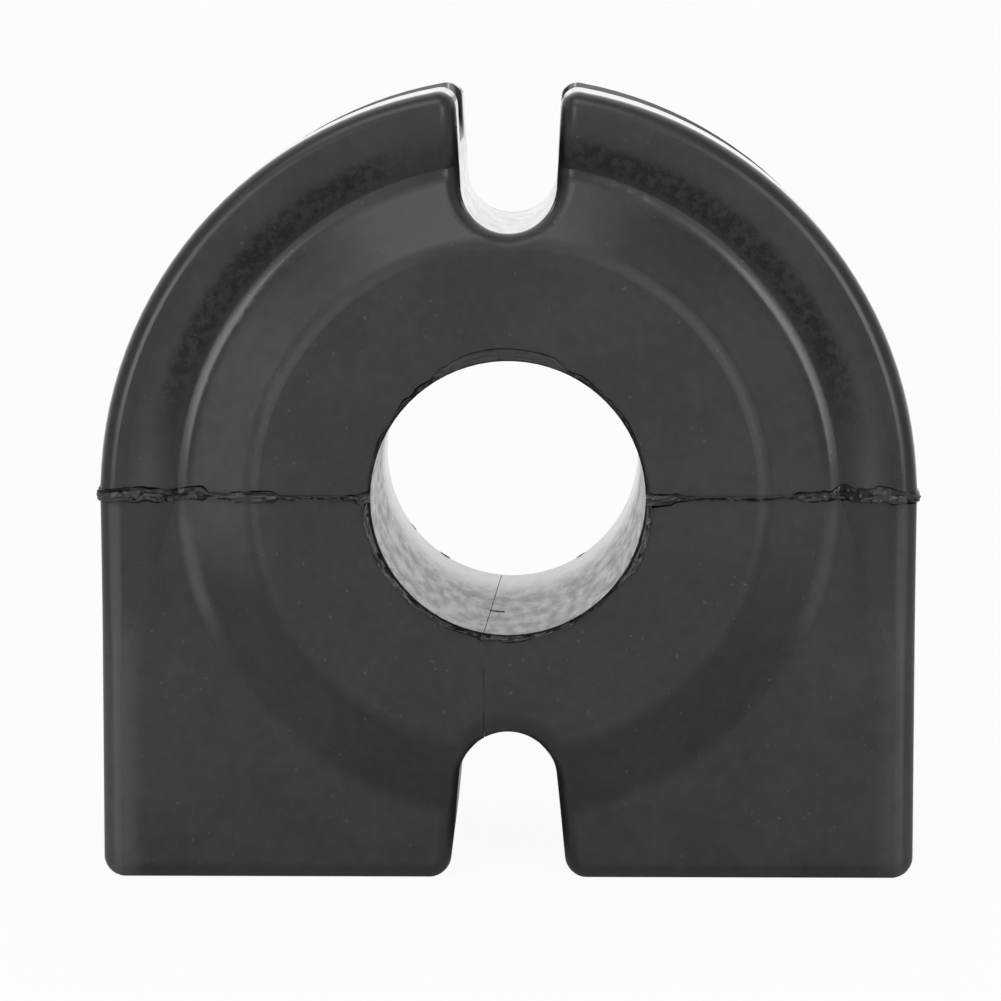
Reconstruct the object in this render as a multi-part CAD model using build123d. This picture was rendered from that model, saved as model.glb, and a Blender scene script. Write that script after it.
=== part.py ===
from build123d import *
import math
import os

# A sway bar bushing: one moulded block of rubber that grips a bar and sits under a bracket.
# Millimetres. The bar runs along Y, +Z is up, and the origin is the middle of the bore's axis.
# The end towards -Y is the front. The back has the same forms, mirrored.

# The bore and the hub round it
bore_d = 24.0
hub_wall = 10.4
hub_edge_round = 2.6
hub_stand = 1.4

# The cone that falls from the hub to a ring-shaped valley, and the raised rim outside it
cone_run = 5.95
valley_round = 3.0
valley_flat = 0.08
rim_width = 6.9
rim_height = 1.4
rim_crest_flat = 0.35
rim_taper = 1.0
edge_round = 1.4

# The lower half, where the raised rim sinks until it lies just under a flat face
rim_run_out = 16.0
rim_sunk_depth = 0.05
base_land = 5.15
base_corner_round = 1.9

# The groove that the bracket strap lies in, between two flanges
strap_groove_width = 18.5
strap_groove_depth = 4.0
strap_groove_round = 0.9
flange_width = 10.35

# The slot at the top and the slot at the bottom
top_slot_wall = 10.95
top_slot_floor_r = 4.2
top_slot_draft = 3.1
top_slot_edge_round = 1.5
bottom_slot_wall = 8.85
bottom_slot_floor_r = 4.3
bottom_slot_draft = 5.6
bottom_slot_edge_round = 1.9

# The slit that lets the block be opened and put over the bar, nearly closed when it is free
slit_width = 0.06
slit_front_x = -2.1
slit_back_x = -1.05

# Flash left along the parting line of the mould and round the mouths of the bore
parting_flash_height = 0.25
parting_flash_inner_width = 0.2
parting_flash_outer_width = 0.7
lip_flash_height = 0.15
lip_flash_width = 0.35

# Worked out from the sizes above
bore_r = bore_d / 2
hub_flat_r = bore_r + hub_wall
cone_foot_r = hub_flat_r + cone_run
cone_angle = math.atan2(hub_stand + rim_height, cone_run)
rim_foot_r = cone_foot_r + valley_round * math.tan(cone_angle / 2) + valley_flat
arch_r = rim_foot_r + rim_width
groove_r = arch_r - strap_groove_depth
half_groove = strap_groove_width / 2
rim_crest_y = half_groove + flange_width
hub_face_y = rim_crest_y + hub_stand
face_y = rim_crest_y - rim_height
arch_front_r = arch_r - flange_width * math.tan(math.radians(rim_taper))
rim_crest_r = arch_front_r - edge_round - rim_crest_flat
base_z = -(rim_foot_r + base_land)

# How far cutting tools run past the block, and how close a point counts as on a surface
clear = 10.0
near = 1e-3


def rim_side():
    """The rounded inner side of the front rim, from its crest down to its foot, in radius and Y."""
    return TangentArc((rim_crest_r, -rim_crest_y), (rim_foot_r, -face_y), tangent=(-1, 0))


def outer_section():
    """Half of the level section at the axis, without the hub: two rimmed flanges and the groove."""
    side = rim_side()
    floor = Line((0, -face_y), side @ 1)
    flange = Polyline(
        side @ 0,
        (arch_front_r, -rim_crest_y),
        (arch_r, -half_groove),
        (groove_r, -half_groove),
        (groove_r, 0),
        (0, 0),
        floor @ 0,
    )
    front = make_face(Curve() + [floor, side, flange])
    floor_corner = front.vertices().filter_by(lambda v: abs(v.X - groove_r) < near and v.Y < -near)
    front = fillet(floor_corner, strap_groove_round)
    return front + mirror(front, Plane.XZ)


def before_lower_face(depth, top):
    """A box in front of the legs' lower face, this deep below the given height."""
    width = 2 * (arch_r + clear)
    length = clear + hub_face_y - face_y
    box = Box(width, length, depth, align=(Align.CENTER, Align.MAX, Align.MAX))
    return Pos(0, -face_y, top) * box


def front_space():
    """What is cut from the front of the legs.

    The space before the rim sinks into the legs along an arc, until the rim is gone. It stops at
    the flat lower face.
    """
    side = rim_side()
    front = -hub_face_y - clear
    outside = arch_r + clear
    far_corners = [(outside, front), (0, front)]
    before_rim = Polyline(side @ 0, (outside, -rim_crest_y), *far_corners, (0, -face_y), side @ 1)
    half = make_face(Curve() + [side, before_rim])
    level = half + mirror(half, Plane.YZ)
    sink = rim_height + rim_sunk_depth
    shares = (0, 0.25, 0.5, 0.75, 1)
    sinking = loft([Pos(0, sink * (1 - (1 - t) ** 2), -rim_run_out * t) * level for t in shares])
    sinking = sinking & before_lower_face(rim_run_out, 0)
    return sinking + before_lower_face(clear - base_z, -rim_run_out)


def is_base_corner(edge):
    """True for the four edges along the bar where a flange's side meets the base."""
    middle = edge @ 0.5
    return abs(middle.Z - base_z) < near and abs(middle.X) > arch_front_r


def legs():
    """The section drawn straight down to the flat base, with round base corners and the rims run out."""
    half = outer_section()
    block = extrude(half + mirror(half, Plane.YZ), amount=base_z)
    block = fillet(block.edges().filter_by(is_base_corner), base_corner_round)
    space = front_space()
    return block - space - mirror(space, Plane.XZ)


def is_face_outline(edge):
    """True for an edge round the outside of either end face, false for edges across the face."""
    middle = edge @ 0.5
    on_face = abs(middle.Y) > face_y - edge_round
    flange_r = arch_r - (abs(middle.Y) - half_groove) * math.tan(math.radians(rim_taper))
    on_side = abs(math.hypot(middle.X, max(middle.Z, 0)) - flange_r) < near
    on_base = middle.Z < base_z + base_corner_round / 2
    return on_face and (on_side or on_base)


def flanged_block():
    """The section turned over the top as an arch, on its legs, with round outlines to the end faces."""
    block = revolve(outer_section(), -Axis.Y, 180) + legs()
    return fillet(block.edges().filter_by(is_face_outline), edge_round)


def hub():
    """The hub through the block: a flat round each mouth of the bore and a cone down to the valley."""
    edge = (hub_flat_r, -hub_face_y)
    foot = (cone_foot_r, -face_y)
    inside = [(rim_foot_r, -face_y), (rim_foot_r, 0), (0, 0), (0, -hub_face_y)]
    half = make_face(Polyline(edge, foot, *inside, close=True))
    for corner, radius in ((edge, hub_edge_round), (foot, valley_round)):
        nearest = half.vertices().sort_by(lambda v: math.dist((v.X, v.Y), corner))[0]
        half = fillet(nearest, radius)
    front = revolve(half, Axis.Y)
    return front + mirror(front, Plane.XZ)


class Slot:
    """A slot along the bar with a round floor and drafted sides, open upwards or downwards."""

    def __init__(self, way, wall, floor_r, draft):
        self.way = way
        self.floor_z = way * (bore_r + wall)
        self.floor_r = floor_r
        self.slope = math.tan(math.radians(draft))
        self.centre_z = self.floor_z + way * floor_r
        self.side_x = floor_r * math.cos(math.radians(draft))
        self.side_z = self.centre_z - way * floor_r * math.sin(math.radians(draft))

    def half_width(self, z):
        return self.side_x + abs(z - self.side_z) * self.slope

    def tool(self):
        """The space of the slot, run out past the mouth and past both end faces."""
        mouth_z = self.way * (arch_r + clear)
        mouth_x = self.half_width(mouth_z)
        side = (self.side_x, self.side_z)
        other_side = (-self.side_x, self.side_z)
        floor = ThreePointArc(other_side, (0, self.floor_z), side)
        sides = Polyline(side, (mouth_x, mouth_z), (-mouth_x, mouth_z), other_side)
        profile = make_face(Curve() + [floor, sides])
        return extrude(Plane.XZ * profile, amount=hub_face_y + clear, both=True)

    def touches(self, point):
        """True for a point on the slot's floor or on one of its sides."""
        if (point.Z - self.side_z) * self.way < 0:
            return abs(math.hypot(point.X, point.Z - self.centre_z) - self.floor_r) < near
        return abs(abs(point.X) - self.half_width(point.Z)) < near

    def bounds_wall(self, edge):
        """True for an edge round the slot's wall, false for the seams between floor and sides."""
        if not all(self.touches(edge @ t) for t in (0, 0.25, 0.5, 0.75, 1)):
            return False
        along_bar = abs((edge @ 0).Y + (edge @ 1).Y) < near
        return not (along_bar and abs((edge @ 0.5).Z - self.side_z) < near)


def cut_slots(block):
    """Both slots, with rounded edges wherever they break out of the block."""
    top = Slot(1, top_slot_wall, top_slot_floor_r, top_slot_draft)
    bottom = Slot(-1, bottom_slot_wall, bottom_slot_floor_r, bottom_slot_draft)
    block = block - top.tool() - bottom.tool()
    block = fillet(block.edges().filter_by(bottom.bounds_wall), bottom_slot_edge_round)
    return fillet(block.edges().filter_by(top.bounds_wall), top_slot_edge_round)


def flash_section():
    """A quarter of the parting line's level section, grown outwards by the height of the flash."""
    grow = parting_flash_height
    inner = Polyline(
        (0, 0),
        (0, hub_face_y + grow),
        (hub_flat_r, hub_face_y + grow),
        (cone_foot_r, face_y + grow),
        (rim_foot_r, face_y + grow),
    )
    rim_top = (rim_crest_r, rim_crest_y + grow)
    rim = TangentArc(rim_top, inner @ 1, tangent=(-1, 0))
    crest = Line(rim_top, (arch_front_r - edge_round, rim_crest_y + grow))
    edge = TangentArc(crest @ 1, (arch_front_r + grow, rim_crest_y - edge_round), tangent=(1, 0))
    outer = Polyline(
        edge @ 1,
        (arch_r + grow, half_groove - grow),
        (groove_r + grow, half_groove - grow),
        (groove_r + grow, 0),
        (0, 0),
    )
    return make_face(Curve() + [inner, rim, crest, edge, outer])


def parting_flash():
    """A thin fin along the level parting line, widest over the rims where the mould wore."""
    quarter = flash_section()
    half = quarter + mirror(quarter, Plane.XZ)
    fin = extrude(half + mirror(half, Plane.YZ), amount=parting_flash_outer_width, both=True)
    end = arch_r + clear
    outer = parting_flash_outer_width / 2
    inner = parting_flash_inner_width / 2
    side = Polyline((0, inner), (end, outer), (end, -outer), (0, -inner), close=True)
    width = make_face(side)
    width = width + mirror(width, Plane.YZ)
    return fin & extrude(Plane.XZ * width, amount=hub_face_y + clear, both=True)


def lip_flash():
    """A thin raised lip round the bore's front mouth, where the core pin met the mould."""
    lip = Polyline(
        (bore_r / 2, -hub_face_y),
        (bore_r / 2, -hub_face_y - lip_flash_height),
        (bore_r, -hub_face_y - lip_flash_height),
        (bore_r + lip_flash_width, -hub_face_y),
        close=True,
    )
    return revolve(make_face(lip), Axis.Y)


def slit_tool():
    """The slit through the lower wall, from the bore to the bottom slot, slightly aslant."""
    end = hub_face_y + lip_flash_height
    half = slit_width / 2
    plan = Polyline(
        (slit_front_x - half, -end),
        (slit_front_x + half, -end),
        (slit_back_x + half, end),
        (slit_back_x - half, end),
        close=True,
    )
    above = bore_r / 2
    depth = bottom_slot_wall + bottom_slot_floor_r + bore_r - above
    return extrude(Pos(0, 0, -above) * make_face(plan), amount=depth, dir=(0, 0, -1))


def rubber_body():
    """The whole moulding, with its bore and slit cut last."""
    lip = lip_flash()
    bore = extrude(Plane.XZ * Circle(bore_r), amount=hub_face_y + clear, both=True)
    body = cut_slots(flanged_block() + hub())
    body = body + parting_flash() + lip + mirror(lip, Plane.XZ)
    return body - bore - slit_tool()


os.makedirs("parts", exist_ok=True)
export_step(rubber_body(), "parts/rubber_body.step")
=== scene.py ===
import math
from typing import NamedTuple

import bpy
import numpy as np
from bpy.props import FloatProperty, FloatVectorProperty, IntProperty, PointerProperty
from mathutils import Matrix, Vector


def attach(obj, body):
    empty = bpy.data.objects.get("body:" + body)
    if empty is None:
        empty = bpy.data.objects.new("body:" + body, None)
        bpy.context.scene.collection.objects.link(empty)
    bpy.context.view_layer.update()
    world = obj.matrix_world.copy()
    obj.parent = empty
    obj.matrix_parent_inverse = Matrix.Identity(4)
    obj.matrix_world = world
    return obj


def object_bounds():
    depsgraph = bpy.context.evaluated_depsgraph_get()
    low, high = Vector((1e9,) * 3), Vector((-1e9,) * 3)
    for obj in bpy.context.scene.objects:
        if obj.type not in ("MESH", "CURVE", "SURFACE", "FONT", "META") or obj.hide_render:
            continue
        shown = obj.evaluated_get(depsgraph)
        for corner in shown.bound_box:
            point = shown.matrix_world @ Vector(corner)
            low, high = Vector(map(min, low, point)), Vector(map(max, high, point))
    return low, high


bl_info = {
    "name": "Sway bar bushing",
    "version": (1, 0, 0),
    "blender": (4, 5, 0),
    "location": "View3D > Sidebar > Bushing",
    "description": "Dresses a moulded rubber bushing with its finish, its flash and a small studio",
    "category": "Object",
}

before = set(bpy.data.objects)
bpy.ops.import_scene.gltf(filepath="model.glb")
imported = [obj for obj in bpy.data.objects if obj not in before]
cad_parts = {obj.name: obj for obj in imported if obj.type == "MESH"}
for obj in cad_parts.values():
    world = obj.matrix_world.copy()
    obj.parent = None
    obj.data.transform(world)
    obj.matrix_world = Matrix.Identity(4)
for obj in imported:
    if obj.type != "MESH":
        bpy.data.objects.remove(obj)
cad_box = [list(corner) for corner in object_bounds()]

MM = 0.001
CAD_NODE = "rubber_body"
BODY = "root"


# Sizes and colours that a user would change

class BushingSizes(bpy.types.PropertyGroup):
    """The sizes of the rubber block that its flash and its finish follow."""

    bore_radius: FloatProperty(
        name="Bore radius", description="Radius of the hole for the bar", default=12.0 * MM, unit="LENGTH"
    )
    hub_face: FloatProperty(
        name="Hub face", description="From the middle to the flat of the hub",
        default=21.0 * MM, unit="LENGTH"
    )
    hub_radius: FloatProperty(
        name="Hub radius", description="Radius at which the hub's flat ends", default=22.4 * MM, unit="LENGTH"
    )
    valley_face: FloatProperty(
        name="Valley", description="From the middle to the floor of the ring valley",
        default=18.2 * MM, unit="LENGTH"
    )
    cone_foot: FloatProperty(
        name="Cone foot", description="Radius at the foot of the hub's cone",
        default=28.35 * MM, unit="LENGTH"
    )
    rim_foot: FloatProperty(
        name="Rim foot", description="Radius at which the raised rim begins", default=29.1 * MM, unit="LENGTH"
    )
    rim_face: FloatProperty(
        name="Rim crest", description="From the middle to the crest of the rim",
        default=19.6 * MM, unit="LENGTH"
    )
    rim_crest: FloatProperty(
        name="Crest radius", description="Radius at which the rim is highest",
        default=34.07 * MM, unit="LENGTH"
    )
    edge_round: FloatProperty(
        name="Edge round", description="Rounding of the flange's outer edge", default=1.4 * MM, unit="LENGTH"
    )
    rim_outside: FloatProperty(
        name="Rim outside", description="Outer radius of the flange at its face",
        default=35.82 * MM, unit="LENGTH"
    )
    flange_radius: FloatProperty(
        name="Flange radius", description="Outer radius of the flange at the groove",
        default=36.0 * MM, unit="LENGTH"
    )
    groove_radius: FloatProperty(
        name="Groove radius", description="Radius of the strap groove's floor",
        default=32.0 * MM, unit="LENGTH"
    )
    groove_half: FloatProperty(
        name="Half groove", description="Half the width of the strap groove", default=9.25 * MM, unit="LENGTH"
    )
    top_slot_floor: FloatProperty(
        name="Top slot", description="From the bore's axis to the top slot's floor",
        default=22.95 * MM, unit="LENGTH"
    )
    top_slot_round: FloatProperty(
        name="Top slot round", description="Radius of the top slot's floor", default=4.2 * MM, unit="LENGTH"
    )
    top_slot_draft: FloatProperty(
        name="Top slot draft", description="Slant of each wall of the top slot",
        default=math.radians(3.1), subtype="ANGLE"
    )
    bottom_slot_floor: FloatProperty(
        name="Bottom slot", description="From the bore's axis to the bottom slot's floor",
        default=20.85 * MM, unit="LENGTH"
    )
    bottom_slot_round: FloatProperty(
        name="Bottom slot round", description="Radius of the bottom slot's floor",
        default=4.3 * MM, unit="LENGTH"
    )
    bottom_slot_draft: FloatProperty(
        name="Bottom slot draft", description="Slant of each wall of the bottom slot",
        default=math.radians(5.6), subtype="ANGLE"
    )
    slit_side: FloatProperty(
        name="Slit", description="From the middle to the left, to the slit's line on the front",
        default=2.1 * MM, unit="LENGTH"
    )
    slit_end: FloatProperty(
        name="Slit end", description="How far down the slit's line runs flat",
        default=18.9 * MM, unit="LENGTH"
    )


class FlashSizes(bpy.types.PropertyGroup):
    """How ragged the films are that the mould left behind."""

    film_height: FloatProperty(
        name="Film height", description="How far the torn films stand off the rubber",
        default=0.3 * MM, unit="LENGTH"
    )
    crumple: FloatProperty(
        name="Crumple", description="How much their surface goes up and down",
        default=0.16 * MM, unit="LENGTH"
    )
    tear: FloatProperty(
        name="Tear", description="How far their edges run in and out", default=0.22 * MM, unit="LENGTH"
    )
    # Painted shadow: the width of the strips painted black on the skin beside the films' lifted edges
    gap: FloatProperty(
        name="Gap", description="Width of the dark gaps under their lifted edges",
        default=0.16 * MM, unit="LENGTH"
    )
    seed: IntProperty(name="Seed", description="Which torn pattern is made", default=7, min=0)


class RubberLook(bpy.types.PropertyGroup):
    """The black rubber's colours and gloss."""

    rubber_colour: FloatVectorProperty(
        name="Rubber", description="Colour of clean black rubber",
        default=(0.012, 0.012, 0.012), subtype="COLOR", min=0, max=1
    )
    bloom_colour: FloatVectorProperty(
        name="Bloom", description="Colour of the dull film that rubber sweats out",
        default=(0.026, 0.026, 0.026), subtype="COLOR", min=0, max=1
    )
    # Mostly painted light: the colour of the lightened cone, legs, edges and low valley, and of small dust
    # specks
    dust_and_light_colour: FloatVectorProperty(
        name="Dust", description="Colour where bloom and dust lie thick",
        default=(0.06, 0.06, 0.06), subtype="COLOR", min=0, max=1
    )
    # Painted highlight: the colour of the light glints painted on the torn films' facets
    glint_colour: FloatVectorProperty(
        name="Flecks", description="Colour of the light flecks on torn films",
        default=(0.09, 0.09, 0.09), subtype="COLOR", min=0, max=1
    )
    # Painted shade: the near-black colour painted in the band on the rim's inner slope
    painted_shade_colour: FloatVectorProperty(
        name="Dark band", description="Colour where the skin is bare of bloom",
        default=(0.003, 0.003, 0.003), subtype="COLOR", min=0, max=1
    )
    # Painted light and dust: the pale colour of the groove's far wall and of the bore's streaks
    pale_dust_and_light: FloatVectorProperty(
        name="Pale dust", description="Colour of the palest dust, in bore and groove",
        default=(0.4, 0.4, 0.4), subtype="COLOR", min=0, max=1
    )
    gloss_roughness: FloatProperty(
        name="Roughness", description="Roughness of the moulded skin",
        default=0.32, subtype="FACTOR", min=0, max=1
    )
    polished_roughness: FloatProperty(
        name="Polished roughness", description="Least roughness where polished steel shaped the skin",
        default=0.1, subtype="FACTOR", min=0, max=1
    )


class StudioLook(bpy.types.PropertyGroup):
    """Lamps, camera and surroundings."""

    side_power: FloatProperty(
        name="Side lamps", description="Power of each lamp beside the camera",
        default=1.3, unit="POWER", min=0
    )
    top_power: FloatProperty(
        name="Top lamp", description="Power of the lamp above", default=1.6, unit="POWER", min=0
    )
    floor_colour: FloatVectorProperty(
        name="Floor", description="Colour of the paper under the part",
        default=(0.9, 0.9, 0.9), subtype="COLOR", min=0, max=1
    )
    lens: FloatProperty(
        name="Lens", description="Focal length on a 36 mm sensor", default=173.2, unit="CAMERA"
    )


# Shader sums

class Number:
    """A socket that carries a number, so that sums of it are written as ordinary expressions."""

    def __init__(self, finish, socket):
        self.finish = finish
        self.socket = socket

    def sum(self, operation, *terms):
        made = self.finish.node("ShaderNodeMath", {"operation": operation}, dict(enumerate(terms)))
        return Number(self.finish, made.outputs[0])

    def __add__(self, other):
        return self.sum("ADD", self, other)

    def __radd__(self, other):
        return self.sum("ADD", other, self)

    def __sub__(self, other):
        return self.sum("SUBTRACT", self, other)

    def __rsub__(self, other):
        return self.sum("SUBTRACT", other, self)

    def __mul__(self, other):
        return self.sum("MULTIPLY", self, other)

    def __rmul__(self, other):
        return self.sum("MULTIPLY", other, self)

    def smaller(self, other):
        return self.sum("MINIMUM", self, other)

    def larger(self, other):
        return self.sum("MAXIMUM", self, other)

    def root(self):
        return self.sum("SQRT", self)

    def size(self):
        return self.sum("ABSOLUTE", self)

    def step(self, low, high):
        """0 below low, 1 above high and a smooth rise between them."""
        settings = {"interpolation_type": "SMOOTHSTEP"}
        made = self.finish.node("ShaderNodeMapRange", settings, {"Value": self, 1: low, 2: high})
        return Number(self.finish, made.outputs[0])

    def band(self, low, high, soft):
        """1 between low and high and 0 outside them, with ends that are soft over twice this much."""
        return self.step(low - soft, low + soft) * (1 - self.step(high - soft, high + soft))


class Finish:
    """One tree of shader nodes, for a material or for the world."""

    def __init__(self, tree):
        self.tree = tree
        self.tree.nodes.clear()

    def node(self, kind, settings=None, inputs=None):
        """A node of this kind: its settings are set first, then its sockets' values or links."""
        made = self.tree.nodes.new(kind)
        for name, value in (settings or {}).items():
            setattr(made, name, value)
        for key, value in (inputs or {}).items():
            socket = self.find(made.inputs, key)
            if isinstance(value, Number):
                value = value.socket
            if isinstance(value, bpy.types.NodeSocket):
                self.tree.links.new(value, socket)
            else:
                socket.default_value = value
        return made

    def find(self, sockets, key):
        """A socket by its place in the row or by its identifier."""
        if isinstance(key, int):
            return sockets[key]
        return next(socket for socket in sockets if socket.identifier == key)

    def number(self, kind, settings=None, inputs=None, output=0):
        """One output of a new node, as a number to do sums with."""
        return Number(self, self.node(kind, settings, inputs).outputs[output])

    def mix(self, factor, first, second):
        """The first colour where the factor is 0 and the second where it is 1."""
        inputs = {"Factor_Float": factor, "A_Color": first, "B_Color": second}
        return self.node("ShaderNodeMix", {"data_type": "RGBA"}, inputs).outputs[2]

    def place(self):
        """Object coordinates, and their three parts in millimetres."""
        where = self.node("ShaderNodeTexCoord").outputs["Object"]
        inputs = {0: where, "Scale": 1000.0}
        scaled = self.node("ShaderNodeVectorMath", {"operation": "SCALE"}, inputs).outputs[0]
        parts = self.node("ShaderNodeSeparateXYZ", None, {0: scaled})
        return scaled, [Number(self, socket) for socket in parts.outputs]

    def noise(self, where, scale, detail, roughness=0.5):
        """Noise from 0 to 1. The scale is in patches per millimetre of the coordinates given."""
        inputs = {"Vector": where, "Scale": scale, "Detail": detail, "Roughness": roughness}
        return self.number("ShaderNodeTexNoise", None, inputs)

    def stretched(self, where, factors):
        """Coordinates stretched by a factor along each axis."""
        return self.node("ShaderNodeVectorMath", {"operation": "MULTIPLY"}, {0: where, 1: factors}).outputs[0]


def grey(value):
    """An opaque grey of this brightness, as colour sockets take it."""
    return (value, value, value, 1.0)


def opaque(colour):
    """A property's colour, as colour sockets take it."""
    return (*colour, 1.0)


# Flash: torn films where the halves of the mould and the core pin met

# The parting film on the front, on each side: distance from the bore's axis, reach up, reach down, painted
# shadow strip above, painted shadow strip below and how dented. Distances and reaches are in millimetres,
# shadow strips in shares of the usual strip.
LEFT_FILM = (
    (12.0, 0.45, 0.6, 0.7, 1.0, 0.2), (14.0, 0.25, 0.35, 0.5, 0.7, 0.2), (16.0, 0.14, 0.2, 0.0, 0.3, 0.0),
    (19.8, 0.16, 0.22, 0.1, 0.2, 0.0), (20.6, 0.42, 0.42, 0.8, 0.8, 0.2), (23.6, 0.42, 0.38, 0.8, 0.7, 0.2),
    (24.6, 0.18, 0.2, 0.2, 0.3, 0.0), (26.2, 0.2, 0.25, 0.3, 0.4, 0.2), (26.8, 0.62, 0.4, 0.9, 0.7, 0.8),
    (28.0, 0.55, 0.45, 0.6, 0.6, 0.2), (29.2, 0.6, 0.45, 0.7, 0.5, 0.9), (30.4, 0.5, 0.5, 0.9, 0.9, 0.2),
    (32.0, 0.62, 0.5, 1.1, 0.7, 0.6), (33.0, 0.62, 0.42, 1.2, 0.5, 0.1), (34.6, 0.7, 0.4, 1.4, 0.5, 0.8),
    (36.2, 0.6, 0.4, 1.2, 0.5, 0.3),
)
RIGHT_FILM = (
    (12.0, 0.5, 0.6, 0.4, 1.3, 0.1), (14.0, 0.35, 0.42, 0.8, 1.0, 0.1), (16.2, 0.14, 0.18, 0.1, 0.5, 0.0),
    (24.6, 0.12, 0.16, 0.0, 0.3, 0.0), (25.4, 0.35, 0.35, 0.9, 0.8, 0.1), (27.6, 0.3, 0.35, 0.7, 0.6, 0.3),
    (28.5, 0.45, 0.3, 0.6, 0.9, 0.9), (29.4, 0.95, 0.35, 0.4, 0.9, 1.0), (30.4, 0.6, 0.45, 0.4, 0.7, 1.0),
    (31.4, 0.8, 0.45, 0.3, 0.5, 0.5), (32.6, 0.9, 0.5, 0.5, 0.5, 0.0), (33.4, 0.7, 0.6, 1.0, 1.3, 0.0),
    (34.8, 0.6, 0.55, 0.8, 1.5, 0.1), (36.2, 0.36, 0.36, 0.4, 0.5, 0.3),
)

# The film round each mouth: clockwise angle from the top in degrees, the film's start off the bore's edge,
# painted black as shadow, and its width in millimetres, and the painted shadow strip beyond it as a share of
# the usual strip. Below 0 the film hangs over the bore's edge.
FRONT_LIP = (
    (0, 0.02, 1.05, 0.7), (10, 0.02, 1.0, 0.7), (19, 0.02, 0.85, 0.6), (24, 0.06, 0.3, 0.5),
    (45, 0.1, 0.2, 0.5), (60, 0.1, 0.22, 0.6), (80, 0.06, 0.15, 0.3), (91, 0.1, 0.2, 0.5),
    (95, 0.14, 0.45, 0.1), (105, 0.18, 0.55, 0.0), (118, 0.22, 0.55, 0.1), (127, 0.16, 0.35, 0.3),
    (136, 0.1, 0.2, 0.4), (150, 0.12, 0.25, 0.4), (165, 0.12, 0.32, 0.5), (176, 0.08, 0.55, 0.6),
    (190, 0.1, 0.5, 0.6), (202, 0.12, 0.32, 0.5), (212, 0.14, 0.35, 0.6), (222, 0.16, 0.36, 0.3),
    (230, 0.18, 0.5, 0.0), (250, 0.16, 0.55, 0.0), (264, 0.18, 0.6, 0.1), (269, 0.12, 0.25, 0.4),
    (275, 0.05, 0.18, 0.4), (290, 0.04, 0.18, 0.4), (310, 0.05, 0.28, 0.7), (326, 0.04, 0.28, 0.6),
    (331, 0.03, 0.6, 0.6), (345, 0.02, 1.0, 0.7), (360, 0.02, 1.05, 0.7),
)
BACK_LIP = (
    (0, 0.02, 0.25, 0.4), (143, 0.05, 0.3, 0.5), (145, -0.05, 0.5, 0.5), (149, -0.07, 0.5, 0.5),
    (151, 0.05, 0.3, 0.5), (209, 0.02, 0.4, 0.5), (211, -0.08, 0.6, 0.5), (215, -0.06, 0.6, 0.5),
    (217, 0.02, 0.4, 0.5), (229, 0.02, 0.3, 0.5), (231, -0.05, 0.5, 0.5), (234, -0.04, 0.5, 0.5),
    (236, 0.04, 0.3, 0.4), (360, 0.02, 0.25, 0.4),
)

# How much painted glint the film round the mouths has, along the same angles
LIP_GLINT = (
    (0, 0.1), (90, 0.1), (95, 1.3), (125, 1.3), (130, 0.5),
    (220, 0.5), (228, 1.3), (266, 1.3), (270, 0.3), (360, 0.1),
)

# Where a short crack branches off the slit in the floor of the bore, in millimetres: from -X to +X, and
# its place along Y
CRACK = (-1.8, -0.45, -5.9)
CRACK_HALF = 0.42 * MM

# The least half width of the strip that lies over the slit, and how much more it has at most
LIPS_HALF = 0.014 * MM
LIPS_RAGGED = 0.022 * MM

# How far from its corner the hub's edge begins to round, as a share of the way the valley's foot takes
CORNER_CUT = 0.73


def arc_points(centre, radius, start, end, count=9):
    """Points along an arc in the plan, from one angle to another in degrees."""
    turns = np.radians(np.linspace(start, end, count))
    return np.stack((centre[0] + radius * np.cos(turns), centre[1] + radius * np.sin(turns)), axis=1)


def level_outline(sizes):
    """The block's outline at the parting line, from the front mouth of the bore round to the back one.

    From the bore out it has the hub's flat, the cone, the rounded valley, the rim as one arc up to its
    crest, the rounded edge, the flange's outside and the groove's floor. The back mirrors the front.
    """
    drop = sizes.hub_face - sizes.valley_face
    slope = math.hypot(sizes.cone_foot - sizes.hub_radius, drop)
    along = np.array((sizes.cone_foot - sizes.hub_radius, drop)) / slope
    edge = np.array((sizes.hub_radius, -sizes.hub_face))
    foot = np.array((sizes.cone_foot, -sizes.valley_face))
    ease = sizes.rim_foot - sizes.cone_foot
    cut = CORNER_CUT * ease
    rise = sizes.rim_face - sizes.valley_face
    reach = sizes.rim_crest - sizes.rim_foot
    bow = (reach ** 2 + rise ** 2) / (2 * rise)
    start = math.degrees(math.atan2(rise - bow, -reach)) + 360
    rim_centre = (sizes.rim_crest, bow - sizes.rim_face)
    edge_centre = (sizes.rim_outside - sizes.edge_round, sizes.edge_round - sizes.rim_face)
    front = np.concatenate((
        [(sizes.bore_radius, -sizes.hub_face)],
        [edge - (cut, 0), edge, edge + along * cut],
        [foot - along * ease, foot + 0.25 * ease * (np.array((1.0, 0.0)) - along), foot + (ease, 0)],
        arc_points(rim_centre, bow, start, 270),
        arc_points(edge_centre, sizes.edge_round, 270, 360),
        [(sizes.flange_radius, -sizes.groove_half), (sizes.groove_radius, -sizes.groove_half)],
    ))
    return np.concatenate((front, front[::-1] * (1, -1)))


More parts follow.
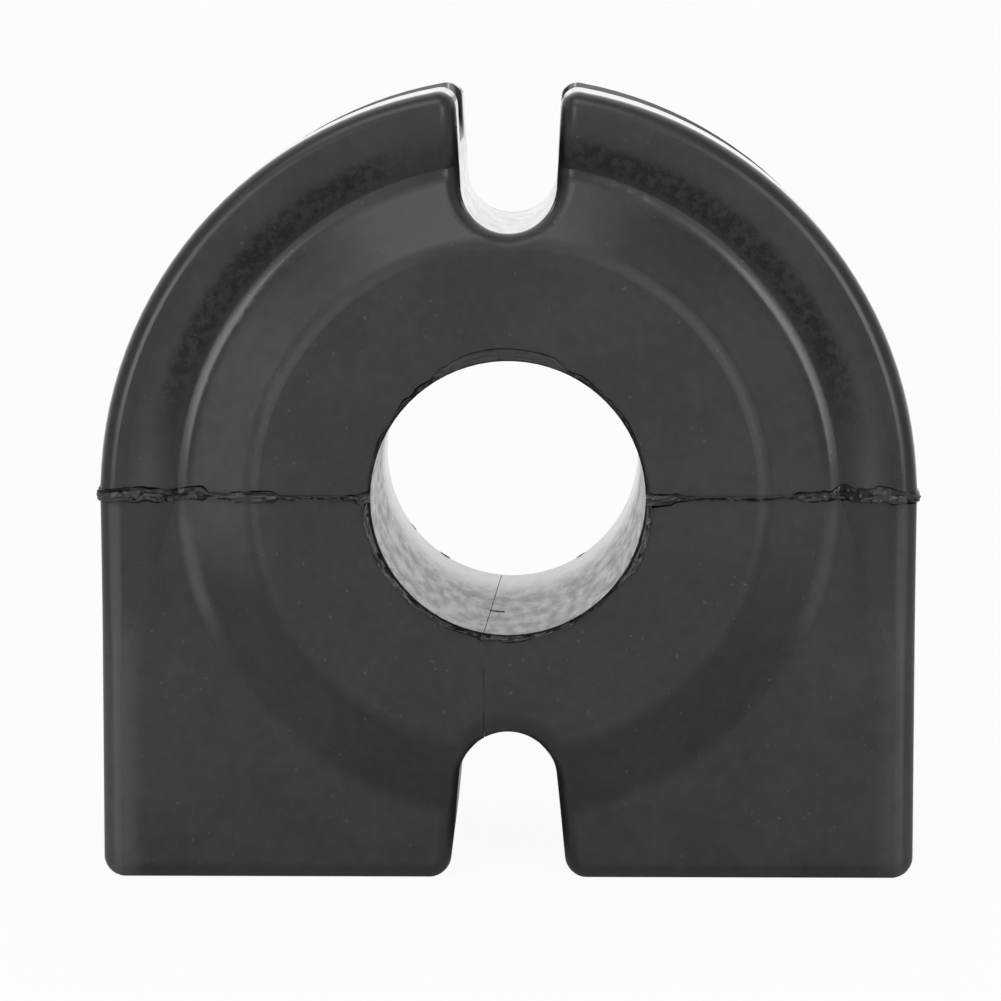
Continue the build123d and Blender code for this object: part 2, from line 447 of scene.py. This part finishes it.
def even_path(points, spacing):
    """The same line with points at an even spacing, its lengths, and its outward directions.

    The directions are square to the line and blurred along it, so that a film turns corners smoothly.
    """
    steps = np.linalg.norm(np.diff(points, axis=0), axis=1)
    lengths = np.concatenate(([0], np.cumsum(steps)))
    places = np.linspace(0, lengths[-1], int(lengths[-1] / spacing) + 1)
    path = np.stack([np.interp(places, lengths, points[:, k]) for k in (0, 1)], axis=1)
    ahead = np.gradient(path, axis=0)
    reach = 4
    blur = np.hanning(2 * reach + 1)
    padded = np.pad(ahead, ((reach, reach), (0, 0)), mode="edge")
    ahead = np.stack([np.convolve(padded[:, k], blur / blur.sum(), mode="valid") for k in (0, 1)], axis=1)
    outward = np.stack((ahead[:, 1], -ahead[:, 0]), axis=1)
    return path, places, outward / np.linalg.norm(outward, axis=1)[:, None]


def ragged(places, spacing, seed):
    """Random levels from 0 to 1 at an uneven spacing along a line, joined by straight runs."""
    dice = np.random.default_rng(seed)
    count = int(places[-1] / spacing) + 3
    knots = np.cumsum(dice.uniform(0.3, 1.7, count)) * spacing - spacing
    return np.interp(places, knots, dice.random(count))


def torn(places, spacing, seed):
    """Ragged levels in steep steps, as a torn edge has them."""
    return np.clip((ragged(places, spacing, seed) - 0.5) * 2.4 + 0.5, 0, 1)


class FilmLine(NamedTuple):
    """A line on the block with a film along it: lengths, points, and directions off the skin and across."""

    lengths: np.ndarray
    points: np.ndarray
    outward: np.ndarray
    across: np.ndarray


class FilmWear(NamedTuple):
    """How crested, dented, light and ragged a film is along its line. 0 is not at all and 1 is plenty."""

    crested: np.ndarray
    # Dents are also painted dark
    dented: np.ndarray
    # How much painted glint the film has
    light: np.ndarray
    ragged: np.ndarray


# Where the crumpled columns lie across a film, as shares of its width
COLUMN_SHARES = np.array((0.07, 0.25, 0.42, 0.6, 0.77, 0.93))

# How far above the skin a film's foot lies, and how far below it the edge of a painted shadow strip is hidden
SKIN_LIFT = 0.03 * MM
HIDDEN_LIFT = -0.15 * MM

# How far apart, on average, the random levels lie along a film, for each thing that they vary
TEAR_SPACING = 0.85 * MM
HEIGHT_SPACING = 1.4 * MM
JITTER_SPACING = 0.6 * MM
WAVE_SPACING = 0.7 * MM
DENT_SPACING = 0.9 * MM
GLINT_SPACING = 0.6 * MM
SHADOW_SPACING = 1.0 * MM
LIP_SHADOW_SPACING = 1.1 * MM
LIP_START_SPACING = 0.8 * MM

# An edge that reaches less than this from the film's line is torn less
FULL_TEAR = 0.4 * MM


def torn_film(line, edges, shadow_strips, wear, flash, seed):
    """A crumpled film of rubber that lies along a line on the block, as a grid, with its painted shade and
    glint.

    Each point is line(s) + outward(s) * lift(s, t) + across(s) * place(s, t), with s the way along the
    line and t the way across the film. From one side to the other the columns are: the start under the
    skin, the strip beside the film that is painted black as its shadow, the film's lifted edge, six crumpled
    columns over its top, and the same back to the other side. Edges and heights are cut up by random
    straight runs. The depth is 1 on the painted shadow strips, more than 0 in dents painted dark,
    less than 0 on painted glints and 0 on the rest of the film.
    """
    lengths = line.lengths
    low, high = [
        edge + flash.tear * wear.ragged * (torn(lengths, TEAR_SPACING, seed + k) - 0.5)
        * np.clip(abs(edge) / FULL_TEAR, 0, 1)
        for k, edge in enumerate(edges)
    ]
    height = flash.film_height * (0.95 + 0.5 * ragged(lengths, HEIGHT_SPACING, seed + 4) * wear.ragged)

    def columns(noise, spacing, first, step=1):
        """A noise along the line for each crumpled column, or one for each few of them."""
        seeds = [seed + first + k // step for k in range(len(COLUMN_SHARES))]
        return np.stack([noise(lengths, spacing, each) for each in seeds], axis=1)

    rough = wear.ragged[:, None]
    jitter = (columns(ragged, JITTER_SPACING, 10) - 0.5) * rough
    waves = (columns(torn, WAVE_SPACING, 20) - 0.5) * rough
    # Dents are painted dark and glints painted light, through the depth
    dents = (columns(ragged, DENT_SPACING, 30, 2) > 0.84 - 0.5 * wear.dented[:, None]) * rough
    glints = np.clip(columns(ragged, GLINT_SPACING, 40) * 5 - 4.4 + 2.4 * wear.light[:, None], 0, 1) * rough
    inner_place = low[:, None] + (high - low)[:, None] * (COLUMN_SHARES + 0.11 * jitter)
    crown = 1 - 0.75 * wear.crested[:, None] * abs(2 * COLUMN_SHARES - 1)
    inner_lift = height[:, None] * crown + flash.crumple * (waves - 0.5 * dents)
    edge = 0.58 * height * (1 - 0.6 * wear.crested)
    skin, hidden = np.full_like(lengths, SKIN_LIFT), np.full_like(lengths, HIDDEN_LIFT)
    place = np.column_stack((
        low - shadow_strips[0], low - shadow_strips[0], low, low * 0.97 + high * 0.03, low,
        inner_place, high, high * 0.97 + low * 0.03, high, high + shadow_strips[1], high + shadow_strips[1],
    ))
    lift = np.column_stack((
        hidden, skin, skin, 0.3 * edge, edge, inner_lift, edge, 0.3 * edge, skin, skin, hidden,
    ))
    nothing, full = np.zeros_like(lengths), np.ones_like(lengths)
    inner_shade_and_glint = np.where(dents > 0, 0.6 * dents, -glints)
    depth = np.column_stack((
        full, full, full, 0.8 * full, nothing, inner_shade_and_glint, nothing, 0.8 * full, full, full, full,
    ))
    points, outward, across = [rows[:, None, :] for rows in (line.points, line.outward, line.across)]
    return points + outward * lift[:, :, None] + across * place[:, :, None], depth


# Spacing of the parting film's points, and what it has off the front: its reach and how ragged it is
PARTING_SPACING = 0.085 * MM
PARTING_REACH = 0.3 * MM
PARTING_RAGGED = 0.35

# How far in front of the groove the front's part of the parting film ends, how far behind the rim's face
# the film begins to have a crest, and over how much it gets it
FRONT_END = 1.5 * MM
CREST_START = 0.7 * MM
CREST_EASE = 0.8 * MM


def parting_film(sizes, flash, side, film):
    """The torn film along the parting line on one side of the block, over front, outside and back.

    It is a torn film along the level outline, with Z across it. In the valley, on the outside and on the
    back it is highest along its middle.
    """
    path, lengths, outward = even_path(level_outline(sizes), PARTING_SPACING)
    front = path[:, 1] < -sizes.groove_half - FRONT_END
    radii, ups, downs, shadows_up, shadows_down, dents = np.array(film).T
    seed = flash.seed * 100 + (1 if side > 0 else 51)

    def along(levels):
        return np.interp(path[:, 0] / MM, radii, levels)

    ragged_share = np.where(front, 1.0, PARTING_RAGGED)
    up = np.where(front, along(ups) * MM, PARTING_REACH)
    down = np.where(front, along(downs) * MM, PARTING_REACH)
    shadow_strips = [
        flash.gap * ragged_share * along(levels) * torn(lengths, SHADOW_SPACING, seed + k)
        for k, levels in ((5, shadows_down), (6, shadows_up))
    ]
    level = np.zeros(len(lengths))
    line = FilmLine(
        lengths,
        np.column_stack((side * path[:, 0], path[:, 1], level)),
        np.column_stack((side * outward[:, 0], outward[:, 1], level)),
        np.tile((0.0, 0.0, 1.0), (len(lengths), 1)),
    )
    crested = np.clip((path[:, 1] + sizes.rim_face - CREST_START) / CREST_EASE, 0, 1)
    wear = FilmWear(crested, along(dents), level, ragged_share)
    grid, depth = torn_film(line, (-down, up), shadow_strips, wear, flash, seed)
    return (grid, depth) if side > 0 else (grid[::-1], depth[::-1])


# Points round a mouth of the bore
LIP_POINTS = 900


def lip_film(sizes, flash, way, film):
    """The torn film round one mouth of the bore, with painted shadow between it and the bore's edge.

    It is a torn film along the circle (r sin a, r cos a) on the hub's face, with the angle a clockwise
    from the top and the radius across it. It is calmer near the top.
    """
    count = LIP_POINTS
    angle = np.linspace(0, 2 * math.pi, count + 1)[:-1]
    lengths = angle * sizes.bore_radius
    angles, starts, widths, shadow_shares = np.array(film).T
    turn = np.degrees(angle)
    start = np.interp(turn, angles, starts) * MM
    width = np.interp(turn, angles, widths) * MM
    from_top = np.minimum(angle, 2 * math.pi - angle)
    ease = np.clip(from_top / 0.08, 0, 1) * (0.35 + 0.65 * np.clip((from_top - 0.35) / 0.2, 0, 1))
    seed = flash.seed * 100 + (101 if way < 0 else 151)
    gap = flash.gap * ease * np.interp(turn, angles, shadow_shares) * torn(lengths, LIP_SHADOW_SPACING, seed + 6)
    shadow_strips = (start * (0.75 + 0.25 * torn(lengths, LIP_START_SPACING, seed + 7) * ease), gap)
    radial = np.column_stack((np.sin(angle), np.zeros(count), np.cos(angle)))
    line = FilmLine(
        lengths,
        radial * (sizes.bore_radius + 0.02 * MM) + (0.0, way * sizes.hub_face, 0.0),
        np.tile((0.0, float(way), 0.0), (count, 1)),
        radial,
    )
    level = np.zeros(count)
    wear = FilmWear(level, level, np.interp(turn, *np.array(LIP_GLINT).T), 0.8 * ease)
    grid, depth = torn_film(line, (start, start + width), shadow_strips, wear, flash, seed)
    return (grid, depth) if way < 0 else (grid[::-1], depth[::-1])


def slit_skin(sizes, flash):
    """The lips of the slit, which nearly close it on the front: a ragged strip along its line.

    Its edges are x = -side - w(z) and x = -side + w(z), just in front of the hub's face, where the half
    width w goes up and down at random between the bore and the slit's end.
    """
    z = np.arange(-sizes.bore_radius - 0.3 * MM, -sizes.slit_end, -0.07 * MM)
    half = LIPS_HALF + LIPS_RAGGED * torn(z[0] - z, 0.5 * MM, flash.seed + 1)
    y = np.full_like(z, -sizes.hub_face - 0.004 * MM)
    return np.stack([np.column_stack((way * half - sizes.slit_side, y, z)) for way in (-1, 1)], axis=1)


def bore_crack(sizes):
    """The shade of a short crack in the floor of the bore: a narrow strip, painted black, round a part of the
    circle.

    Its edges are y = place - w(x) and y = place + w(x) on the circle z = -sqrt(r * r - x * x), where the
    half width w goes up and down at random.
    """
    start, end, place = np.array(CRACK) * MM
    x = np.linspace(start, end, 24)
    radius = sizes.bore_radius - 0.02 * MM
    half = CRACK_HALF * (0.4 + 0.6 * ragged(x - x[0], 0.25 * MM, 3))
    z = -np.sqrt(radius ** 2 - x ** 2)
    return np.stack([np.column_stack((x, place + way * half, z)) for way in (-1, 1)], axis=1)


# Rubber

# How steeply the faint crease runs outwards where the rim sinks into the lower face, across over down
CREASE_SLOPE = 0.31


class Skin:
    """The rubber's surface as its shader reads it: places in millimetres, and the noises of its look.

    Besides x, y and z there are the radius from the bore's axis, the distance across to either side and
    the distance along the bore from the middle.
    """

    def __init__(self, finish, sizes):
        self.sizes = sizes
        where, (self.x, self.y, self.z) = finish.place()
        self.radius = (self.x * self.x + self.z * self.z).root()
        self.across = self.x.size()
        self.along = self.y.size()
        # 1 on the left, which gets more painted light
        self.left = 1 - self.x.step(-2, 2)
        self.far = self.y.step(2, 19)
        self.patches = finish.noise(where, 0.9, 3.0, 0.6)
        self.clouds = finish.noise(where, 0.12, 2.0)
        self.mottle = finish.noise(where, 1.3, 3.0, 0.75)
        self.specks = finish.noise(where, 2.6, 0.0)
        self.grain = finish.noise(where, 4.0, 2.0, 0.6)
        self.streaks = finish.noise(finish.stretched(where, (0.9, 0.24, 0.9)), 1.0, 2.0, 0.55)

    def mm(self, size, more=0.0):
        """One of the block's sizes in millimetres, with a little added."""
        return getattr(self.sizes, size) / MM + more

    def bloom(self):
        """The dull film that rubber sweats out, in fine patches and wide clouds."""
        return self.patches.step(0.25, 0.8) * 0.55 + self.clouds.step(0.3, 0.7) * 0.45

    def dust_and_painted_light(self):
        """Painted light on the cone, the lower legs, the legs' edges and the valley below the parting line, in
        patches, with small specks of dust and the painted light beyond the crease.

        The left has more painted light than the right.
        """
        z, left = self.z, self.left
        side = self.mm("flange_radius")
        cone = self.radius.band(self.mm("hub_radius", 0.6), self.mm("cone_foot", -0.45), 0.5)
        edge = self.across.band(side - 1.9, side - 1.0, 0.25) * (1 - z.step(-1.5, 0.5))
        legs = self.across.step(side - 4.0, side - 2.0) * (1 - z.step(-18, -8))
        valley = self.radius.band(self.mm("cone_foot", -0.45), self.mm("rim_foot", -0.1), 0.45)
        # Painted light on the legs' edges, the lower legs, the cone and the low valley, more on the left
        painted_light = (edge * (0.65 + 0.35 * left)).larger(legs * (0.34 + 0.34 * left))
        painted_light = painted_light + cone * z.band(-5, 18, 6) * (0.4 + 0.45 * left)
        painted_light = painted_light + valley * z.band(-11.5, -1.2, 2.5) * (0.55 + 0.4 * left)
        return painted_light * (0.6 + 0.8 * self.patches) + 0.8 * self.specks.step(0.82, 0.87) + self.crease_painted_light()

    def crease_painted_light(self):
        """Painted light beyond the crease where the rim sinks away, which makes the crease's shading faint."""
        slanted = self.across + CREASE_SLOPE * self.z
        beyond = slanted.step(self.mm("rim_foot", 0.02), self.mm("rim_foot", 0.18))
        on_face = self.along.step(self.mm("valley_face", -1.2), self.mm("valley_face", -0.2))
        return 0.16 * beyond * on_face * (1 - self.z.step(-1, 0)) * self.z.step(-16.5, -13)

    def groove_painted_light(self):
        """Painted light on the far wall of the strap groove, more towards the top of the arch."""
        wall = self.y.band(self.mm("groove_half", -0.15), self.mm("groove_half", 0.25), 0.1)
        return wall * self.z.step(24, 36)

    def rim_shade(self):
        """Painted shade: a mottled dark band on the rim's inner slope in the upper half, weaker beside the top
        slot.
        """
        ring = self.radius.band(self.mm("rim_foot", 0.3), self.mm("rim_foot", 2.6), 0.6) * self.z.step(2, 14)
        return ring * (1 - 0.75 * self.x.band(-11, 5, 2.5)) * (0.25 + 0.75 * self.mottle.step(0.38, 0.6))

    def shaded(self):
        """Painted shade: a faint dark streak down each leg beside the crease."""
        beside = self.across.band(self.mm("rim_foot", 1.2), self.mm("rim_foot", 2.1), 0.8)
        return beside * self.z.band(-10, -2.5, 2.5)

    def shiny(self):
        """The valley and the rim's crest, which catch the light."""
        valley = self.radius.band(self.mm("cone_foot", -0.85), self.mm("rim_foot", 0.2), 0.4)
        crest = self.radius.band(self.mm("rim_crest", -0.57), self.mm("rim_crest", 0.53), 0.4)
        return (valley * self.z.band(-13, 21, 4)).larger(crest * self.z.band(-1, 20, 4))

    def dull(self):
        """The hub's rounded edge, which is duller than the rest."""
        return self.radius.band(self.mm("hub_radius", -0.6), self.mm("hub_radius", 0.5), 0.3)

    def bore(self):
        """1 in the bore, which a polished pin shaped."""
        return 1 - self.radius.step(self.mm("bore_radius"), self.mm("bore_radius", 0.05))

    def slot(self, name, reach):
        """1 in a slot. The reach is the distance up or down from the bore's axis.

        A wall lies where |x| = round / cos(draft) + (reach - floor - round) * tan(draft).
        """
        floor, radius = self.mm(name + "_floor"), self.mm(name + "_round")
        draft = getattr(self.sizes, name + "_draft")
        wall = radius / math.cos(draft) - (floor + radius) * math.tan(draft)
        within = 1 - (self.across - math.tan(draft) * reach).step(wall + 0.025, wall + 0.125)
        return within * reach.step(floor - 2, floor - 1)

    def slots(self):
        """1 in both slots, short of the rounded edges at the faces."""
        middle = 1 - self.along.step(self.mm("hub_face", -2.4), self.mm("hub_face", -1.8))
        return middle * self.slot("top_slot", self.z).larger(self.slot("bottom_slot", 0 - self.z))

    def arch(self):
        """1 on the outside of the arch, short of its rounded edges."""
        middle = 1 - self.along.step(self.mm("rim_face", -1.3), self.mm("rim_face", -0.2))
        outside = self.radius.step(self.mm("flange_radius", -1.0), self.mm("flange_radius", -0.6))
        return middle * outside * self.z.step(0, 3)


def rubber_material(name, sizes, look, torn=False):
    """Black moulded rubber: a faint dull bloom in fine patches over a dark skin, with a mould's grain.

    The bore, the slots and the arch's outside, which polished steel shaped, are smoother than the faces
    and have a thin coat of gloss. Light and shade are also painted into the colour: light on the cone, the
    legs, their edges, the low valley, the crease and the groove's far wall, more on the left, pale streaks in
    the bore that are dust and painted reflection, and shade on the rim's inner slope and down the legs. A torn
    film is painted black where its depth is 1 and painted light where it is -1.
    """
    material = bpy.data.materials.new(name)
    material.use_nodes = True
    finish = Finish(material.node_tree)
    skin = Skin(finish, sizes)
    rim_shade, bore, slots = skin.rim_shade(), skin.bore(), skin.slots()
    polished = bore.larger(slots).larger(skin.arch())

    colour = finish.mix(skin.bloom(), opaque(look.rubber_colour), opaque(look.bloom_colour))
    # Painted shade on the rim's inner slope
    colour = finish.mix(0.85 * rim_shade, colour, opaque(look.painted_shade_colour))
    # Painted light, with small dust specks
    colour = finish.mix(skin.dust_and_painted_light().smaller(1), colour, opaque(look.dust_and_light_colour))
    # Pale streaks in the bore, dust and painted reflection, and painted light on the groove's far wall
    pale = (0.15 * bore * skin.streaks).larger(0.6 * skin.groove_painted_light())
    colour = finish.mix(pale, colour, opaque(look.pale_dust_and_light))
    # Painted shade: a black shader is mixed in over the rim's band and the streak down the legs
    dark = (0.36 * rim_shade).larger(0.13 * skin.shaded())
    # Painted shade and glint on torn films: strips and dents mixed to black, glints lightened
    if torn:
        depth = finish.number("ShaderNodeAttribute", {"attribute_name": "depth"}, None, 2)
        colour = finish.mix((0 - depth).larger(0), colour, opaque(look.glint_colour))
        dark = dark.larger(depth.step(0.2, 0.9))

    moulded = (look.gloss_roughness + 0.06 * (skin.patches - 0.5)) * (1 - 0.45 * skin.shiny())
    moulded = moulded * (1 + 0.25 * skin.dull())
    smears = skin.streaks.step(0.28, 0.72) * (1 - 0.75 * skin.far)
    smooth = look.polished_roughness + (0.08 + 0.06 * bore) * smears + 0.09 * bore
    roughness = moulded * (1 - polished) + polished * smooth
    coat = polished * (1 - bore * (1 - 0.7 * skin.far)) * (1 - 0.5 * slots * skin.streaks)
    height = 0.01 * skin.patches + 0.003 * skin.grain
    bump = finish.node("ShaderNodeBump", None, {"Strength": 0.3, "Distance": MM, "Height": height})
    rubber = finish.node("ShaderNodeBsdfPrincipled", None, {
        "Base Color": colour, "Roughness": roughness, "Normal": bump.outputs[0],
        "IOR": 1.5, "Coat Weight": coat, "Coat Roughness": 0.1,
    })
    # The black shader of the painted shade
    black = finish.node("ShaderNodeBsdfDiffuse", None, {"Color": grey(0.004)})
    mixed = finish.node("ShaderNodeMixShader", None, {0: dark, 1: rubber.outputs[0], 2: black.outputs[0]})
    finish.node("ShaderNodeOutputMaterial", None, {"Surface": mixed.outputs[0]})
    return material


# Studio

# Each lamp: name, place, width and height in metres, and the property that holds its power
LAMPS = (
    ("left_lamp", (-0.36, -0.82, 0.07), (0.28, 0.36), "side_power"),
    ("right_lamp", (0.345, -0.82, 0.125), (0.28, 0.36), "side_power"),
    ("top_lamp", (-0.1, -0.535, 0.585), (0.6, 0.4), "top_power"),
)

# The camera: its place in metres, and how far it is turned to the left, down and rolled in degrees
CAMERA_PLACE = (0.0046, -0.4384, 0.0453)
CAMERA_TURN = (0.72, 6.22, 0.036)

# The paper lies this far under the part
PAPER_GAP = 0.02 * MM


def ray_kinds(finish):
    """Two numbers: 1 for rays from the camera or through glass, and 1 for rays in gloss."""
    rays = finish.node("ShaderNodeLightPath").outputs
    kinds = ("Camera", "Transmission", "Glossy")
    camera, glass, gloss = [Number(finish, rays[f"Is {kind} Ray"]) for kind in kinds]
    return camera.larger(glass), gloss


def white_paper(name, colour):
    """Pale matt paper that the camera sees as white, but for part of its shadow.

    In gloss it is white behind the part and grey in front of it.
    """
    material = bpy.data.materials.new(name)
    material.use_nodes = True
    finish = Finish(material.node_tree)
    direct, gloss = ray_kinds(finish)
    behind = finish.place()[1][1].step(30, 300)
    seen = 0.94 * direct.larger(gloss * behind)
    paper = finish.node("ShaderNodeBsdfDiffuse", None, {"Color": opaque(colour)})
    white = finish.node("ShaderNodeEmission", None, {"Color": grey(1.0), "Strength": 1.0})
    mixed = finish.node("ShaderNodeMixShader", None, {0: seen, 1: paper.outputs[0], 2: white.outputs[0]})
    finish.node("ShaderNodeOutputMaterial", None, {"Surface": mixed.outputs[0]})
    return material


def light_room(world):
    """A room that is white to the camera, and in gloss white behind, grey in front and dark below."""
    world.use_nodes = True
    finish = Finish(world.node_tree)
    direct, gloss = ray_kinds(finish)
    direction = finish.node("ShaderNodeTexCoord").outputs["Generated"]
    parts = finish.node("ShaderNodeSeparateXYZ", None, {0: direction}).outputs
    behind = Number(finish, parts[1]).step(-0.25, 0.3)
    above = Number(finish, parts[2]).step(-0.5, 0.3)
    in_gloss = behind + (1 - behind) * (0.15 + 0.3 * above)
    strength = direct + (1 - direct) * (gloss * in_gloss + (1 - gloss) * 0.45)
    background = finish.node("ShaderNodeBackground", None, {"Color": grey(1.0), "Strength": strength})
    finish.node("ShaderNodeOutputWorld", None, {"Surface": background.outputs[0]})


def soft_lamp(name, place, aim, size, power):
    """A rectangular soft lamp at a place, turned towards a point."""
    data = bpy.data.lights.new(name, "AREA")
    data.shape = "RECTANGLE"
    data.size, data.size_y = size
    data.energy = power
    lamp = bpy.data.objects.new(name, data)
    bpy.context.scene.collection.objects.link(lamp)
    lamp.matrix_world = look_matrix(place, aim)


def look_matrix(place, aim):
    """A turn and place whose -Z axis looks from a place to a point, with +Z of the room up."""
    place = np.array(place, float)
    back = place - np.array(aim, float)
    back /= np.linalg.norm(back)
    right = np.cross((0.0, 0.0, 1.0), back)
    right /= np.linalg.norm(right)
    up = np.cross(back, right)
    turn = np.eye(4)
    turn[:3, 0] = right
    turn[:3, 1] = up
    turn[:3, 2] = back
    turn[:3, 3] = place
    return Matrix(turn.tolist())


def camera_matrix(place, turns):
    """A camera at a place that looks along +Y, turned to the left, then down, then rolled, in degrees."""
    yaw, pitch, roll = np.radians(turns)
    turn = (
        Matrix.Rotation(yaw, 4, "Z")
        @ Matrix.Rotation(math.pi / 2 - pitch, 4, "X")
        @ Matrix.Rotation(roll, 4, "Z")
    )
    return Matrix.Translation(place) @ turn


def paper_sweep(name, floor_z, width, front, back, height, bend):
    """A sheet of paper: flat, then an arc up into a wall. Points are profile(t) carried along X."""
    turns = np.linspace(0, math.pi / 2, 13)
    profile_y = np.concatenate(([front], back - bend + bend * np.sin(turns), [back]))
    profile_z = np.concatenate(([floor_z], floor_z + bend - bend * np.cos(turns), [floor_z + height]))
    across = np.array((-width, width))
    grid = np.stack(
        np.broadcast_arrays(across[:, None], profile_y[None, :], profile_z[None, :]), axis=-1
    )
    return grid_piece(name, grid, closed=False)


def grid_piece(name, grid, closed, depth=None):
    """A mesh object from a grid of points; closed joins the last row to the first.

    With a depth, the painted shade and glint kept as an attribute, the facets stay sharp, as on a torn film.
    """
    rows, columns = grid.shape[:2]
    index = np.arange(rows * columns).reshape(rows, columns)
    if closed:
        index = np.concatenate((index, index[:1]))
    quads = np.stack((index[:-1, :-1], index[1:, :-1], index[1:, 1:], index[:-1, 1:]), axis=-1)
    mesh = bpy.data.meshes.new(name)
    mesh.from_pydata(grid.reshape(-1, 3), [], quads.reshape(-1, 4))
    mesh.polygons.foreach_set("use_smooth", np.full(len(mesh.polygons), depth is None))
    if depth is not None:
        mesh.attributes.new("depth", "FLOAT", "POINT").data.foreach_set("value", depth.ravel())
    piece = bpy.data.objects.new(name, mesh)
    bpy.context.scene.collection.objects.link(piece)
    return piece


class BUSHING_OT_rubber_finish(bpy.types.Operator):
    """Gives the moulded block its black rubber finish"""

    bl_idname = "bushing.rubber_finish"
    bl_label = "Rubber finish"

    def execute(self, context):
        scene = context.scene
        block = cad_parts[CAD_NODE]
        block.data.materials.clear()
        block.data.materials.append(rubber_material("moulded_rubber", scene.bushing_sizes, scene.rubber_look))
        return {"FINISHED"}


class BUSHING_OT_parting_flash(bpy.types.Operator):
    """Adds the torn flash along both halves of the parting line"""

    bl_idname = "bushing.parting_flash"
    bl_label = "Parting flash"

    def execute(self, context):
        scene = context.scene
        material = rubber_material("parting_rubber", scene.bushing_sizes, scene.rubber_look, torn=True)
        for name, side, film in (("left_parting_flash", -1, LEFT_FILM), ("right_parting_flash", 1, RIGHT_FILM)):
            grid, depth = parting_film(scene.bushing_sizes, scene.flash_sizes, side, film)
            piece = grid_piece(name, grid, False, depth)
            piece.data.materials.append(material)
            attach(piece, BODY)
        return {"FINISHED"}


class BUSHING_OT_lip_flash(bpy.types.Operator):
    """Adds the torn film round both mouths of the bore"""

    bl_idname = "bushing.lip_flash"
    bl_label = "Lip flash"

    def execute(self, context):
        scene = context.scene
        material = rubber_material("lip_rubber", scene.bushing_sizes, scene.rubber_look, torn=True)
        for name, way, film in (("front_lip_flash", -1, FRONT_LIP), ("back_lip_flash", 1, BACK_LIP)):
            grid, depth = lip_film(scene.bushing_sizes, scene.flash_sizes, way, film)
            piece = grid_piece(name, grid, True, depth)
            piece.data.materials.append(material)
            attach(piece, BODY)
        return {"FINISHED"}


class BUSHING_OT_slit_lips(bpy.types.Operator):
    """Adds the lips that nearly close the slit on the front, and a strip painted black as the crack's shade in
    the bore
    """

    bl_idname = "bushing.slit_lips"
    bl_label = "Slit lips"

    def execute(self, context):
        scene = context.scene
        sizes, look = scene.bushing_sizes, scene.rubber_look
        lips = grid_piece("slit_lips", slit_skin(sizes, scene.flash_sizes), False)
        lips.data.materials.append(rubber_material("slit_rubber", sizes, look))
        # Painted shade: the crack is a strip mixed fully to black
        crack = bore_crack(sizes)
        dark = grid_piece("bore_crack", crack, False, np.ones(crack.shape[:2]))
        dark.data.materials.append(rubber_material("crack_rubber", sizes, look, torn=True))
        for piece in (lips, dark):
            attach(piece, BODY)
        return {"FINISHED"}


class BUSHING_OT_studio(bpy.types.Operator):
    """Sets up the paper, the lamps, the room and the camera"""

    bl_idname = "bushing.studio"
    bl_label = "Studio"

    def execute(self, context):
        scene = context.scene
        look = scene.studio_look
        floor_z = cad_box[0][2] - PAPER_GAP
        paper = paper_sweep("paper_sweep", floor_z, width=1.2, front=-1.2, back=0.9, height=1.2, bend=0.3)
        paper.data.materials.append(white_paper("white_paper", look.floor_colour))
        for name, place, size, power in LAMPS:
            soft_lamp(name, place, (0.0, 0.0, 0.0), size, getattr(look, power))
        scene.world = bpy.data.worlds.new("white_room")
        light_room(scene.world)
        data = bpy.data.cameras.new("studio_camera")
        data.lens = look.lens
        data.sensor_width = 36.0
        data.clip_start = 0.01
        data.clip_end = 10.0
        camera = bpy.data.objects.new("studio_camera", data)
        scene.collection.objects.link(camera)
        camera.matrix_world = camera_matrix(CAMERA_PLACE, CAMERA_TURN)
        scene.camera = camera
        scene.view_settings.view_transform = "Standard"
        return {"FINISHED"}


class BUSHING_PT_sidebar(bpy.types.Panel):
    """Lists what dresses the bushing"""

    bl_label = "Bushing"
    bl_idname = "BUSHING_PT_sidebar"
    bl_space_type = "VIEW_3D"
    bl_region_type = "UI"
    bl_category = "Bushing"

    def draw(self, context):
        for operator in OPERATORS:
            self.layout.operator(operator.bl_idname)
        for name, group in GROUPS:
            settings = getattr(context.scene, name)
            for key in group.__annotations__:
                self.layout.prop(settings, key)


GROUPS = (
    ("bushing_sizes", BushingSizes),
    ("flash_sizes", FlashSizes),
    ("rubber_look", RubberLook),
    ("studio_look", StudioLook),
)
OPERATORS = (
    BUSHING_OT_rubber_finish, BUSHING_OT_parting_flash, BUSHING_OT_lip_flash, BUSHING_OT_slit_lips,
    BUSHING_OT_studio,
)


def register():
    for name, group in GROUPS:
        bpy.utils.register_class(group)
        setattr(bpy.types.Scene, name, PointerProperty(type=group))
    for operator in OPERATORS:
        bpy.utils.register_class(operator)
    bpy.utils.register_class(BUSHING_PT_sidebar)


def unregister():
    bpy.utils.unregister_class(BUSHING_PT_sidebar)
    for operator in reversed(OPERATORS):
        bpy.utils.unregister_class(operator)
    for name, group in reversed(GROUPS):
        delattr(bpy.types.Scene, name)
        bpy.utils.unregister_class(group)


def main():
    """Makes the whole scene."""
    register()
    bpy.ops.bushing.rubber_finish()
    bpy.ops.bushing.parting_flash()
    bpy.ops.bushing.lip_flash()
    bpy.ops.bushing.slit_lips()
    bpy.ops.bushing.studio()


if __name__ == "__main__":
    main()
